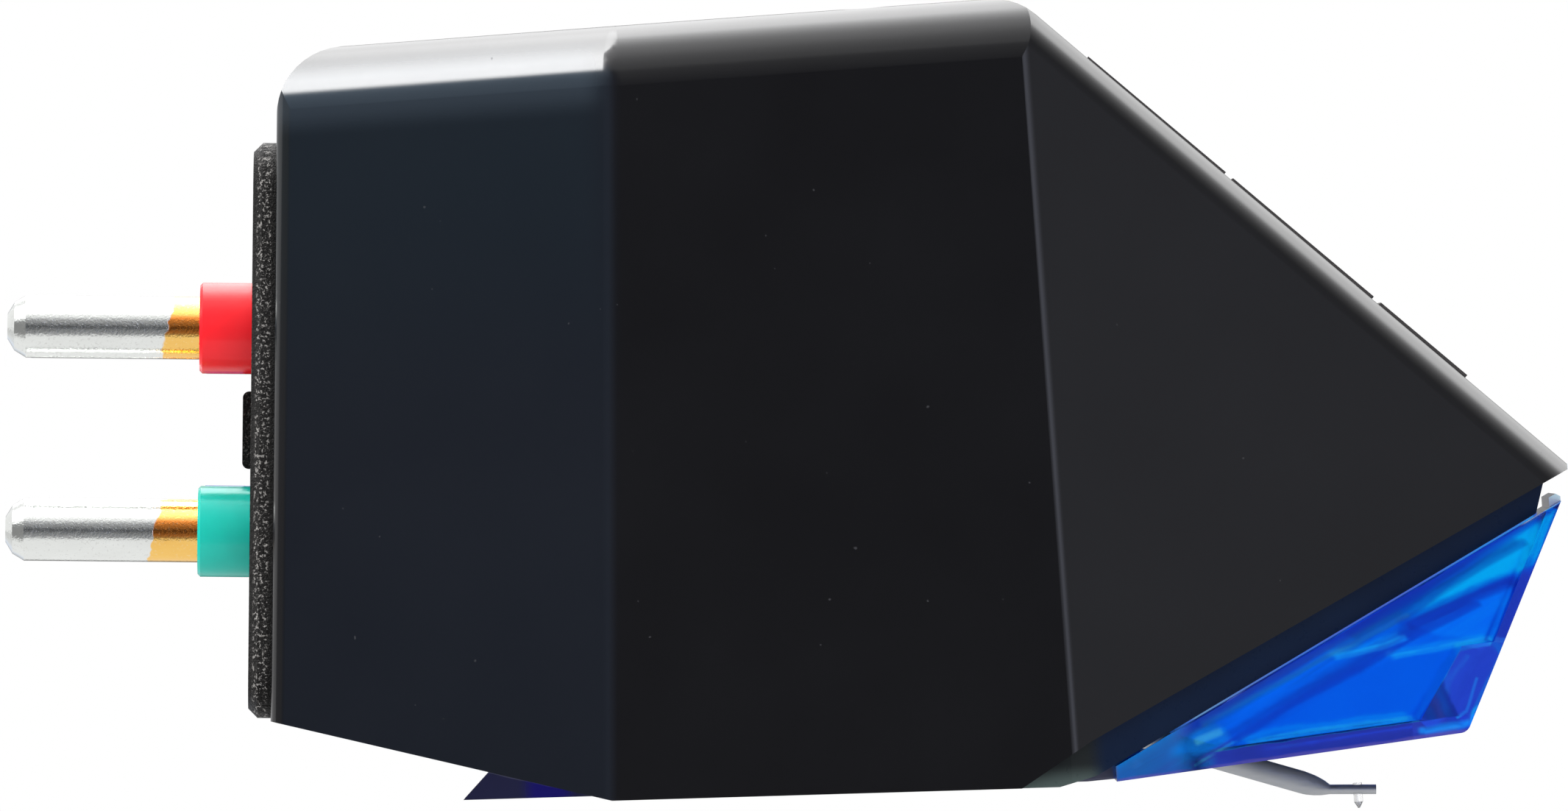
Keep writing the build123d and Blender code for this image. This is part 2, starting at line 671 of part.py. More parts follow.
def cantilever():
    """Aluminium tube, bent level and pressed flat at its end."""
    start = MAGNET_START + FIT
    straight = along_axis(CANTILEVER_R, start, CANTILEVER_LENGTH)
    straight = straight - along_axis(CANTILEVER_BORE, -REACH, CANTILEVER_LENGTH - BORE_END)
    turn = radians(FLAT_DIP)
    flat_way = (cos(turn), 0, -sin(turn))
    flat_rear = Plane(origin=(FLAT_REAR[0], 0, FLAT_REAR[1]), x_dir=(0, 1, 0), z_dir=flat_way)
    bend = Plane(origin=(BEND[0], 0, BEND[1]), x_dir=(0, 1, 0), z_dir=AXIS.z_dir)
    elbow = Vector(ELBOW[0], 0, ELBOW[1])
    middle = (bend.origin + elbow * 2 + flat_rear.origin) / 4
    half_bent = Plane(origin=middle, x_dir=(0, 1, 0), z_dir=flat_rear.origin - bend.origin)
    half_flat = Ellipse((CANTILEVER_R + FLAT_WIDTH / 2) / 2, (CANTILEVER_R + FLAT_THICKNESS / 2) / 2)
    flat_section = Ellipse(FLAT_WIDTH / 2, FLAT_THICKNESS / 2)
    neck = loft([bend * Circle(CANTILEVER_R), half_bent * half_flat, flat_rear * flat_section])
    flat = loft([flat_rear * flat_section, flat_rear.offset(FLAT_LENGTH) * flat_section])
    seat = Pos(TIP_REACH, 0, -TIP_DROP) * Cylinder(TIP_R + WIRE_GAP, 4 * TIP_LENGTH)
    return straight + neck + flat - seat


def diamond_tip():
    """Square-set diamond: a short shank with a rounded cone below the cantilever."""
    shank_top = TIP_LENGTH + FLAT_THICKNESS + TIP_TOP
    base = (Align.CENTER, Align.CENTER, Align.MIN)
    shank = Pos(0, 0, TIP_CONE) * Cylinder(TIP_R, shank_top - TIP_CONE, align=base)
    point = Cone(TIP_END_R, TIP_R, TIP_CONE, align=base)
    return Pos(TIP_REACH, 0, -TIP_DROP) * (shank + point)


LEFT = PIN_PITCH_Y / 2
RIGHT = -PIN_PITCH_Y / 2
TIP_UPPER_Z = MAGNET_Z + POLE_SPREAD
TIP_LOWER_Z = MAGNET_Z - POLE_SPREAD
ARM_LEFT_X = YOKE_REAR_X + YOKE_THICKNESS
ARM_RIGHT_X = ARM_LEFT_X + YOKE_STEP

PIECES = {
    "body_shell": body_shell(),
    "chassis": chassis(),
    "terminal_plate": terminal_plate(),
    "pin_left_plus": pin(LEFT, PIN_UPPER),
    "pin_left_minus": pin(LEFT, PIN_LOWER),
    "pin_right_plus": pin(RIGHT, PIN_UPPER),
    "pin_right_minus": pin(RIGHT, PIN_LOWER),
    "sleeve_white": sleeve(LEFT, PIN_UPPER),
    "sleeve_blue": sleeve(LEFT, PIN_LOWER),
    "sleeve_red": sleeve(RIGHT, PIN_UPPER),
    "sleeve_green": sleeve(RIGHT, PIN_LOWER),
    "bobbin_upper_left": bobbin(POLE_Y, COIL_UPPER_Z),
    "bobbin_lower_left": bobbin(POLE_Y, COIL_LOWER_Z),
    "bobbin_upper_right": bobbin(-POLE_Y, COIL_UPPER_Z),
    "bobbin_lower_right": bobbin(-POLE_Y, COIL_LOWER_Z),
    "coil_upper_left": coil(POLE_Y, COIL_UPPER_Z),
    "coil_lower_left": coil(POLE_Y, COIL_LOWER_Z),
    "coil_upper_right": coil(-POLE_Y, COIL_UPPER_Z),
    "coil_lower_right": coil(-POLE_Y, COIL_LOWER_Z),
    "pole_upper_left": pole(POLE_Y, COIL_UPPER_Z, TIP_UPPER_Z, ARM_LEFT_X),
    "pole_lower_right": pole(-POLE_Y, COIL_LOWER_Z, TIP_LOWER_Z, ARM_LEFT_X),
    "pole_upper_right": pole(-POLE_Y, COIL_UPPER_Z, TIP_UPPER_Z, ARM_RIGHT_X),
    "pole_lower_left": pole(POLE_Y, COIL_LOWER_Z, TIP_LOWER_Z, ARM_RIGHT_X),
    "yoke_left": yoke(1, YOKE_REAR_X),
    "yoke_right": yoke(-1, YOKE_REAR_X + YOKE_STEP),
    "shield_can": shield_can(),
    "lead_left_plus": lead(LEFT, PIN_UPPER, COIL_UPPER_Z),
    "lead_left_minus": lead(LEFT, PIN_LOWER, COIL_LOWER_Z),
    "lead_right_plus": lead(RIGHT, PIN_UPPER, COIL_UPPER_Z),
    "lead_right_minus": lead(RIGHT, PIN_LOWER, COIL_LOWER_Z),
    "stylus_holder": stylus_holder(),
    "suspension_tube": suspension_tube(),
    "wire_anchor": wire_anchor(),
    "tie_wire": tie_wire(),
    "damper": damper(),
    "magnet": magnet(),
    "cantilever": cantilever(),
    "diamond_tip": diamond_tip(),
}

os.makedirs("parts", exist_ok=True)
for name, piece in PIECES.items():
    export_step(piece, f"parts/{name}.step")
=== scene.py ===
import math

import bmesh
import bpy
from mathutils import Matrix, Vector


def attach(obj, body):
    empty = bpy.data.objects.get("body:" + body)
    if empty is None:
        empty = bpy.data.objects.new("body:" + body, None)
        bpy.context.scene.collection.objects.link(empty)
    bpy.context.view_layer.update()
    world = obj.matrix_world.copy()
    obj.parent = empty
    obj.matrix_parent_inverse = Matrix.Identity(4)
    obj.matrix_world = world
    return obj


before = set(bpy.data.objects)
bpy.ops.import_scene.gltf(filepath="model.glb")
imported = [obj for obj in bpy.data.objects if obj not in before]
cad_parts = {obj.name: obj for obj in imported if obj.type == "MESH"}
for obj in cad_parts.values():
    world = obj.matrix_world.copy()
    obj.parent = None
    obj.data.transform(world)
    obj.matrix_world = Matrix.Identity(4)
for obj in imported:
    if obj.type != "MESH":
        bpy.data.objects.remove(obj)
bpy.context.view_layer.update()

MM = 0.001

# sizes of the CAD model that looks and threads are placed by, in mm and radians
TOP_FRONT_X = 3.26  # the front slope starts here, at z = 0
FRONT_SLOPE = math.radians(44.15)
REAR_TOP_X = -12.65  # the rear face starts here, at z = 0
REAR_LEAN = math.radians(4.7)
BOLT_Y = 6.35
BOLT_BORE = 1.03

# the stylus wedge in the side view, (x, z) in mm: its edges, fields of colour, and the painted
# light and shade on it: brighter panes, glints, dark rays of shade, a shadow and lines of light
WEDGE_TOP = (14.34, -11.64), (4.20, -16.63)
WEDGE_FRONT = (11.96, -16.45), (14.30, -11.69)
WEDGE_FLOOR = (4.24, -16.98), (11.96, -16.45)
HEEL_SLOPE = (11.88, -14.66), (10.88, -16.18)
RUNNER_EDGE = (-6.61, -16.60), (-12.0, -14.95)
WINDOW = [(7.10, -16.35), (9.05, -15.34), (10.39, -14.75), (12.08, -14.58), (10.76, -16.12)]
UPPER = [(10.73, -14.01), (12.13, -13.57), (13.17, -13.33), (12.58, -14.52), (11.39, -14.37)]
CYAN_GLINT = [(10.71, -13.98), (12.64, -12.68), (14.12, -11.82), (13.56, -12.99), (12.02, -13.54)]
SHINE = [(5.45, -16.45), (5.95, -16.00), (6.60, -15.95), (6.75, -16.30), (6.10, -16.60)]
HEEL = [(10.86, -16.14), (11.86, -14.74), (12.70, -14.63), (12.10, -16.30), (11.0, -16.30)]
CORNER_LIGHT = [(11.70, -16.20), (12.02, -15.98), (12.22, -15.40), (12.26, -15.70), (12.00, -16.38)]
FOOT_GLINT = [(10.9, -16.38), (11.9, -16.28)]
HEEL_GLINT = [(11.66, -16.14), (11.87, -16.02), (12.17, -15.34)]
LONG_SHADE_RAY = [
    (5.90, -16.77), (6.58, -16.41), (8.12, -15.58),
    (9.64, -14.96), (10.71, -14.38), (12.29, -13.73),
]
SHORT_SHADE_RAY = [(10.78, -14.10), (13.11, -13.29)]
SHADOW = [(9.60, -14.26), (10.45, -13.85), (13.36, -12.47)]
TEAL = [(6.17, -15.87), (8.63, -14.77), (10.74, -13.87)]
GLOWS = [  # each with its half width and soft rim
    ([(7.13, -16.38), (7.85, -16.25), (10.70, -16.08)], 0.03, 0.06),
    ([(9.15, -14.66), (10.13, -14.51), (10.65, -14.35)], 0.04, 0.06),
    ([(10.39, -14.75), (11.37, -14.62), (12.50, -14.50)], 0.03, 0.06),
    ([(5.95, -16.76), (6.82, -16.30)], 0.01, 0.04),
    ([(6.03, -16.23), (6.55, -16.05)], 0.03, 0.10),
]


def grey(level):
    return (level, level, level)


class Graph:
    """A cleared node tree, with short names for the nodes that go into it."""

    def __init__(self, tree):
        self.tree = tree
        tree.nodes.clear()

    def feed(self, socket, value):
        """Link a socket, or set its value. A colour may leave out its alpha."""
        if isinstance(value, bpy.types.NodeSocket):
            self.tree.links.new(value, socket)
        elif isinstance(value, tuple) and len(value) == 3 and len(socket.default_value) == 4:
            socket.default_value = (*value, 1)
        else:
            socket.default_value = value

    def add(self, kind, *values, **settings):
        node = self.tree.nodes.new(kind)
        for key, value in settings.items():
            setattr(node, key, value)
        for socket, value in zip(node.inputs, values):
            self.feed(socket, value)
        return node

    def math(self, how, a, b=0.0, c=0.0):
        return self.add("ShaderNodeMath", a, b, c, operation=how).outputs[0]

    def step(self, value, low, high, bottom=0.0, top=1.0):
        """Smooth ramp of a value between two limits."""
        values = (value, low, high, bottom, top)
        return self.add("ShaderNodeMapRange", *values, interpolation_type="SMOOTHSTEP").outputs[0]

    def band(self, value, middle, half, soft):
        """1 near a middle value, 0 away from it."""
        off = self.math("ABSOLUTE", self.math("SUBTRACT", value, middle))
        return self.step(off, half, half + soft, 1.0, 0.0)

    def times(self, result, *others):
        for other in others:
            result = self.math("MULTIPLY", result, other)
        return result

    def either(self, a, b):
        return self.math("MAXIMUM", a, b)

    def ramp(self, value, low, high, stops):
        """Colour by a value between two limits, from stops of a value and a colour or grey."""
        part_way = self.add("ShaderNodeMapRange", value, low, high).outputs[0]
        node = self.add("ShaderNodeValToRGB", part_way)
        line = node.color_ramp.elements
        while len(line) < len(stops):
            line.new(0.5)
        for element, (at, colour) in zip(line, stops):
            element.position = (at - low) / (high - low)
            element.color = (*(grey(colour) if isinstance(colour, float) else colour), 1)
        return node.outputs["Color"]

    def mix(self, amount, a, b):
        """Colour a, turning into b as the amount rises to 1."""
        node = self.add("ShaderNodeMix", amount, data_type="RGBA")
        self.feed(node.inputs[6], a)
        self.feed(node.inputs[7], b)
        return node.outputs[2]

    def blend(self, amount, a, b):
        """Number a, turning into b as the amount rises to 1."""
        node = self.add("ShaderNodeMix", amount, data_type="FLOAT")
        self.feed(node.inputs[2], a)
        self.feed(node.inputs[3], b)
        return node.outputs[0]


class Paint(Graph):
    """A Principled material that is painted by place on the part, in mm."""

    def __init__(self, name, **sockets):
        self.mat = bpy.data.materials.new(name)
        self.mat.use_nodes = True
        super().__init__(self.mat.node_tree)
        self.bsdf = self.add("ShaderNodeBsdfPrincipled")
        self.add("ShaderNodeOutputMaterial", self.bsdf.outputs[0])
        place = self.add("ShaderNodeTexCoord").outputs["Object"]
        scale = self.add("ShaderNodeVectorMath", place, operation="SCALE")
        self.feed(scale.inputs["Scale"], 1 / MM)
        self.where = scale.outputs[0]
        axes = self.add("ShaderNodeSeparateXYZ", self.where).outputs
        self.x, self.z = axes["X"], axes["Z"]
        for key, value in sockets.items():
            self.put(key.replace("_", " "), value)

    def put(self, socket, value):
        self.feed(self.bsdf.inputs[socket], value)

    def stretch(self, *scales):
        return self.add("ShaderNodeVectorMath", self.where, scales, operation="MULTIPLY").outputs[0]

    def noise(self, scale, detail=3.0, rough=0.55, where=None):
        node = self.add("ShaderNodeTexNoise")
        self.feed(node.inputs["Vector"], where or self.where)
        self.feed(node.inputs["Scale"], scale)
        self.feed(node.inputs["Detail"], detail)
        self.feed(node.inputs["Roughness"], rough)
        return node.outputs["Fac"]

    def plane(self, a, b, c):
        """a x + b z + c."""
        return self.math("MULTIPLY_ADD", self.z, b, self.math("MULTIPLY_ADD", self.x, a, c))

    def line(self, start, end):
        """Distance in mm from a line in the side view, positive to the left of its direction."""
        (x0, z0), (x1, z1) = start, end
        run = math.hypot(x1 - x0, z1 - z0)
        nx, nz = -(z1 - z0) / run, (x1 - x0) / run
        return self.plane(nx, nz, -(nx * x0 + nz * z0))

    def outward(self):
        """Distance in mm behind the housing's leaning rear face."""
        cos, sin = math.cos(REAR_LEAN), math.sin(REAR_LEAN)
        return self.plane(-cos, sin, REAR_TOP_X * cos)

    def upward(self):
        """Distance in mm up along the rear face, from its top."""
        cos, sin = math.cos(REAR_LEAN), math.sin(REAR_LEAN)
        return self.plane(sin, cos, -REAR_TOP_X * sin)

    def zone(self, corners, soft):
        """1 inside a convex side-view outline, its corners clockwise and its soft edges in mm."""
        inside = 1.0
        for start, end in zip(corners, corners[1:] + corners[:1]):
            inside = self.times(inside, self.step(self.line(end, start), -soft / 2, soft / 2))
        return inside

    def stroke(self, corners, half, soft):
        """1 along a bent line in the side view, its half width and soft rim in mm."""
        inside = 0.0
        for start, end in zip(corners, corners[1:]):
            (x0, z0), (x1, z1) = start, end
            run = math.hypot(x1 - x0, z1 - z0)
            ux, uz = (x1 - x0) / run, (z1 - z0) / run
            along = self.plane(ux, uz, -(ux * x0 + uz * z0))
            piece = self.band(self.line(start, end), 0.0, half, soft)
            piece = self.times(piece, self.band(along, run / 2, run / 2, soft))
            inside = self.either(inside, piece)
        return inside

    def square(self, colour):
        return self.add("ShaderNodeVectorMath", colour, colour, operation="MULTIPLY").outputs[0]

    def bump(self, height, strength, distance):
        """Relief from a height, its distance in mm."""
        node = self.add("ShaderNodeBump")
        self.feed(node.inputs["Strength"], strength)
        self.feed(node.inputs["Distance"], distance * MM)
        self.feed(node.inputs["Height"], height)
        self.put("Normal", node.outputs[0])


def housing_black():
    """Glossy moulding, with a painted bluish sheen on its rear facets and a painted lighter glow
    just under their top highlight, and satin on the pads of its front slope.
    """
    p = Paint("housing_black")
    cloud = p.noise(0.22, 4.0)
    grain = p.noise(9.0, 2.0)
    colour = p.mix(cloud, (0.0030, 0.0029, 0.0038), (0.0056, 0.0058, 0.0072))
    below_crown = p.step(p.z, -0.15, -0.70)
    # painted bluish sheen on the rear facets: a reflection put into the colour
    rear = p.times(p.step(p.x, -5.4, -6.4), p.step(p.z, -9.0, -2.0), below_crown)
    colour = p.mix(p.times(rear, 0.5), colour, (0.0050, 0.0090, 0.0115))
    # painted lighter glow just under the top highlight of the rear facets
    highlight_glow = p.times(p.step(p.x, -5.5, -6.2), p.step(p.z, -1.95, -1.25), below_crown)
    colour = p.mix(highlight_glow, colour, (0.018, 0.024, 0.031))
    dust = p.step(p.noise(5.5, 1.0), 0.80, 0.84)
    colour = p.mix(p.times(dust, 0.05), colour, (0.30, 0.30, 0.32))
    slope_end = (TOP_FRONT_X + math.cos(FRONT_SLOPE), -math.sin(FRONT_SLOPE))
    pad = p.step(p.line((TOP_FRONT_X, 0.0), slope_end), 0.02, 0.05)
    satin = p.mix(p.noise(16.0, 2.0), (0.026, 0.023, 0.023), (0.052, 0.047, 0.046))
    p.put("Base Color", p.mix(pad, colour, satin))
    rough = p.math("MULTIPLY_ADD", cloud, 0.05, 0.10)
    rough = p.math("MULTIPLY_ADD", pad, 0.32, rough)
    rough = p.math("MULTIPLY_ADD", grain, 0.03, rough)
    p.put("Roughness", p.math("MULTIPLY_ADD", dust, 0.2, rough))
    p.bump(p.noise(0.9, 2.0), 0.25, 0.004)
    return p.mat


def chassis_navy():
    """Navy along the stylus, which is painted blue light from the clear wedge below; greyer towards
    the toe, with a painted pale reflection of the floor at its lower edge.
    """
    p = Paint("chassis_navy", Specular_IOR_Level=0.18)
    cloud = p.noise(0.8, 3.0)
    # painted blue light: navy where the clear blue wedge lies below
    navy = p.mix(cloud, (0.0005, 0.0060, 0.024), (0.0015, 0.0095, 0.034))
    toe = p.step(p.x, 4.1, 3.6)
    # painted reflection of the floor: paler at the toe's lower edge
    low = p.step(p.z, -16.5, -17.0)
    pale = p.mix(low, (0.010, 0.013, 0.014), (0.060, 0.085, 0.082))
    p.put("Base Color", p.mix(toe, navy, pale))
    p.put("Roughness", p.math("MULTIPLY_ADD", p.noise(7.0), 0.15, 0.22))
    p.bump(p.noise(14.0), 0.2, 0.004)
    return p.mat


def plate_grain():
    """Grainy black, with painted glints of light as pale specks on the plate's edge and fewer on
    its rear face.
    """
    p = Paint("plate_grain", Specular_IOR_Level=0.12)
    lumps = p.noise(11.0, 3.0, 0.65)
    fine = p.noise(26.0, 2.0)
    outward = p.outward()
    # painted glints: pale specks where the grain catches the light, on the plate's edge and fewer
    # on its rear face
    highlight_mask = p.either(p.band(outward, 0.25, 0.12, 0.07), p.step(outward, 0.485, 0.495, 0.0, 0.3))
    glint_specks = p.times(p.step(p.noise(14.0, 2.0, 0.7), 0.54, 0.63), highlight_mask)
    colour = p.mix(lumps, (0.004, 0.0038, 0.0037), (0.014, 0.013, 0.0125))
    p.put("Base Color", p.mix(glint_specks, colour, (0.26, 0.25, 0.24)))
    p.put("Roughness", p.math("MULTIPLY_ADD", fine, 0.25, 0.28))
    p.bump(p.math("MULTIPLY_ADD", lumps, 1.6, fine), 0.8, 0.05)
    return p.mat


def pin_metal():
    """Gilt at the root, with a painted darker stripe of reflected shade along each pin's middle,
    and tinned from an uneven line outwards.
    """
    p = Paint("pin_metal", Metallic=1.0)
    along = p.outward()
    lower = p.step(p.z, -8.1, -8.4)
    start = p.math("MULTIPLY_ADD", lower, 0.28, 2.38)
    tilt = p.math("MULTIPLY_ADD", p.z, 0.22, p.blend(lower, 1.31, 2.28))
    wander = p.math("MULTIPLY_ADD", p.noise(2.6, 2.0), 0.30, -0.15)
    edge = p.math("ADD", p.math("SUBTRACT", along, start), p.math("ADD", tilt, wander))
    tin = p.step(edge, -0.02, 0.02)
    tip = p.step(along, 6.20, 6.45)
    streak = p.noise(3.0, 4.0, 0.65, p.stretch(0.30, 1.0, 1.0))
    pits = p.noise(20.0, 2.0, 0.6)
    flecks = p.step(p.noise(15.0, 2.0, 0.7), 0.58, 0.68)
    gold = p.mix(streak, (0.86, 0.48, 0.11), (0.96, 0.64, 0.20))
    up = p.upward()
    # painted reflected shade: a darker orange stripe along the middle of each pin
    dark_reflection_stripe = p.either(p.band(up, -5.93, 0.14, 0.10), p.band(up, -10.32, 0.14, 0.10))
    gold = p.mix(p.times(dark_reflection_stripe, 0.9), gold, (1.0, 0.30, 0.05))
    gold = p.mix(p.times(flecks, 0.35), gold, (0.90, 0.70, 0.40))
    silver = p.mix(streak, (0.72, 0.73, 0.71), (0.84, 0.86, 0.84))
    silver = p.mix(p.times(flecks, 0.20), silver, (0.42, 0.39, 0.38))
    p.put("Base Color", p.mix(tin, gold, silver))
    rough = p.blend(tin, 0.09, p.math("MULTIPLY_ADD", streak, 0.10, 0.08))
    p.put("Roughness", p.blend(tip, rough, 0.55))
    height = p.math("MULTIPLY_ADD", tin, 0.15, p.times(pits, 0.45))
    p.bump(height, 0.2, 0.06)
    return p.mat


def sleeve(name, deep, light):
    p = Paint(name, Specular_IOR_Level=0.4)
    p.put("Base Color", p.mix(p.noise(1.7, 3.0), deep, light))
    p.put("Roughness", p.math("MULTIPLY_ADD", p.noise(6.0), 0.12, 0.16))
    p.bump(p.noise(8.0), 0.15, 0.01)
    return p.mat


def stylus_blue():
    """Clear blue moulding: indigo where it is thick, bright in thin walls, with painted lit edges,
    and painted light and shade on its side walls: brighter panes, glints, dark rays, a shadow and
    lines of light.
    """
    p = Paint("stylus_blue", IOR=1.46, Specular_Tint=(0.12, 0.40, 1.0, 1.0))
    p.x = p.math("MULTIPLY_ADD", p.math("SUBTRACT", p.noise(0.8, 2.0), 0.5), 0.12, p.x)
    p.z = p.math("MULTIPLY_ADD", p.math("SUBTRACT", p.noise(1.1, 2.0), 0.5), 0.10, p.z)
    below_top = p.line(*WEDGE_TOP)
    behind_front = p.line(*WEDGE_FRONT)
    above_floor = p.line(*WEDGE_FLOOR)
    along_top = (p.times(behind_front, 0.35), 0.0, p.times(below_top, 3.2))
    streaks = p.noise(1.0, 3.0, 0.6, p.add("ShaderNodeCombineXYZ", *along_top).outputs[0])
    clouds = p.noise(0.7, 2.0)
    streaky = p.step(streaks, 0.40, 0.62)

    # thin side walls, painted with the light and shade seen in the clear moulding: brighter panes,
    # a cyan glint, a highlight, dark rays of shade, a shadow and lines of light
    colour = p.mix(streaky, (0.01, 0.34, 0.97), (0.02, 0.25, 0.86))
    near_top = p.step(below_top, 1.0, 0.35)
    colour = p.mix(p.times(near_top, streaky, 0.8), colour, (0.06, 0.20, 0.58))
    # painted light: the panes of the thin walls, brighter in the upper one
    pane = p.mix(clouds, (0.005, 0.27, 0.90), (0.005, 0.33, 0.95))
    colour = p.mix(p.zone(WINDOW, 0.10), colour, pane)
    pane = p.mix(streaky, (0.01, 0.43, 1.0), (0.01, 0.36, 1.0))
    colour = p.mix(p.times(p.zone(UPPER, 0.10), 0.85), colour, pane)
    # painted cyan glint
    cyan_glint = p.times(p.zone(CYAN_GLINT, 0.10), p.step(streaks, 0.76, 0.50))
    colour = p.mix(cyan_glint, colour, (0.005, 0.62, 0.98))
    rear = p.step(p.x, 6.3, 5.3)
    tail = p.ramp(below_top, 0.0, 1.0, [
        (0.0, (0.008, 0.18, 0.60)), (0.25, (0.012, 0.115, 0.44)), (0.6, (0.022, 0.085, 0.42)),
    ])
    colour = p.mix(p.times(rear, 0.85), colour, tail)
    # painted highlight
    shine = p.zone(SHINE, 0.30)
    colour = p.mix(p.times(shine, 0.9), colour, (0.005, 0.27, 0.92))
    # painted shade: dark rays across the wall
    shade_rays = p.either(p.stroke(LONG_SHADE_RAY, 0.04, 0.07), p.stroke(SHORT_SHADE_RAY, 0.05, 0.12))
    colour = p.mix(p.times(shade_rays, 0.85), colour, (0.06, 0.14, 0.66))
    colour = p.mix(p.times(p.stroke(SHADOW, 0.05, 0.08), 0.75), colour, (0.02, 0.20, 0.60))
    # painted lines of light
    glow = 0.0
    for corners, half, soft in GLOWS:
        glow = p.either(glow, p.stroke(corners, half, soft))
    colour = p.mix(p.times(glow, 0.85), colour, (0.08, 0.62, 1.0))
    from_top = p.math("ADD", below_top, p.step(p.x, 10.5, 13.0, 0.0, 0.12))
    purple = p.times(p.step(from_top, 0.27, 0.15), p.step(p.x, 5.4, 6.2))
    colour = p.mix(p.times(purple, 0.9), colour, (0.075, 0.13, 0.64))
    colour = p.mix(p.times(p.stroke(TEAL, 0.02, 0.07), 0.7), colour, (0.16, 0.36, 0.58))

    # thick floor, heel and front, with painted light and glints at the heel corner and painted lit
    # edges
    colour = p.mix(p.step(behind_front, 0.29, 0.25), colour, p.square(colour))
    floor_part = p.times(p.step(above_floor, 0.37, 0.33), p.step(p.x, 5.9, 6.5))
    indigo = p.mix(clouds, (0.015, 0.032, 0.38), (0.030, 0.046, 0.46))
    colour = p.mix(floor_part, colour, indigo)
    heel = p.zone(HEEL, 0.05)
    low_front = p.times(p.step(behind_front, 0.33, 0.28), p.step(p.z, -13.0, -13.25))
    front = p.either(p.step(behind_front, 0.12, 0.07), low_front)
    indigo = p.mix(streaks, (0.009, 0.026, 0.42), (0.018, 0.042, 0.54))
    colour = p.mix(p.either(front, heel), colour, indigo)
    slope = p.times(heel, p.step(p.line(*HEEL_SLOPE), 0.50, 0.30))
    colour = p.mix(p.times(slope, 0.8), colour, (0.020, 0.085, 0.80))
    # painted light and glints at the heel corner
    foot_glint = p.times(p.stroke(FOOT_GLINT, 0.01, 0.12), 0.7)
    corner_light = p.either(p.zone(CORNER_LIGHT, 0.08), foot_glint)
    colour = p.mix(p.times(corner_light, 0.95), colour, (0.002, 0.24, 0.90))
    heel_glint = p.stroke(HEEL_GLINT, 0.005, 0.05)
    colour = p.mix(p.times(heel_glint, 0.6), colour, (0.01, 0.30, 0.92))
    # painted lit edges along the front and the floor
    edge = p.either(p.step(behind_front, 0.07, 0.01), p.step(above_floor, 0.08, 0.02))
    colour = p.mix(p.times(edge, 0.7), colour, (0.12, 0.10, 0.46))
    lip = p.times(p.step(below_top, 0.02, -0.04), p.step(p.x, 13.2, 13.5))
    colour = p.mix(lip, colour, (0.62, 0.68, 0.70))

    # where the moulding lets less light through
    dense = p.either(p.times(lip, 0.68), p.times(floor_part, 0.55))
    dense = p.either(dense, p.times(p.step(p.x, 6.1, 5.4), 0.60))
    dense = p.either(dense, p.times(shine, 0.28))
    p.put("Transmission Weight", p.blend(dense, 0.98, 0.0))

    # runner behind, with a painted highlight along its upper edge where it leaves the housing
    runner = p.step(p.x, 4.30, 4.15)
    dark = p.mix(clouds, (0.020, 0.019, 0.055), (0.036, 0.036, 0.095))
    dark = p.mix(p.band(p.x, -8.0, 0.25, 0.4), dark, (0.018, 0.012, 0.20))
    # painted highlight: a pale line along the runner's upper edge
    highlight_mask = p.step(p.line(*RUNNER_EDGE), 0.07, 0.03)
    dark = p.mix(p.times(highlight_mask, 0.35), dark, (0.30, 0.30, 0.36))
    colour = p.mix(runner, colour, dark)

    # the painted walls face sideways, and other faces of the wedge are plain
    normal = p.add("ShaderNodeNewGeometry").outputs["True Normal"]
    across = p.add("ShaderNodeSeparateXYZ", normal).outputs["Y"]
    side_wall = p.step(p.math("ABSOLUTE", across), 0.45, 0.70)
    plain = p.mix(clouds, (0.020, 0.15, 0.70), (0.030, 0.22, 0.80))
    p.put("Base Color", p.mix(p.either(side_wall, runner), plain, colour))
    p.put("Roughness", p.math("MULTIPLY_ADD", p.noise(4.0), 0.06, 0.03))
    p.bump(p.noise(1.3, 2.0), 0.15, 0.02)
    return p.mat


def diamond():
    p = Paint("diamond", Transmission_Weight=0.9, IOR=2.42)
    p.put("Base Color", p.mix(p.noise(20.0), (0.80, 0.80, 0.78), (0.92, 0.92, 0.95)))
    p.put("Roughness", p.math("MULTIPLY_ADD", p.noise(30.0), 0.05, 0.02))
    return p.mat


def metal(name, dark, light, rough, scale, stretch, metallic=1.0):
    p = Paint(name, Metallic=metallic)
    drawn = p.noise(scale, 3.0, 0.6, p.stretch(*stretch))
    p.put("Base Color", p.mix(drawn, dark, light))
    p.put("Roughness", p.math("MULTIPLY_ADD", drawn, 0.2, rough))
    p.bump(drawn, 0.2, 0.01)
    return p.mat


def plastic(name, dark, light, rough, scale):
    p = Paint(name)
    cloud = p.noise(scale, 3.0)
    p.put("Base Color", p.mix(cloud, dark, light))
    p.put("Roughness", p.math("MULTIPLY_ADD", cloud, 0.2, rough))
    p.bump(p.noise(scale * 4), 0.2, 0.01)
    return p.mat


def copper():
    """Enamelled wire, wound in turns 0.12 mm wide."""
    p = Paint("copper", Metallic=1.0)
    turns = p.math("SINE", p.math("MULTIPLY", p.x, 2 * math.pi / 0.12))
    p.put("Base Color", p.mix(p.noise(2.0), (0.50, 0.18, 0.07), (0.72, 0.32, 0.14)))
    p.put("Roughness", p.math("MULTIPLY_ADD", p.noise(8.0), 0.15, 0.25))
    p.bump(turns, 0.6, 0.03)
    return p.mat


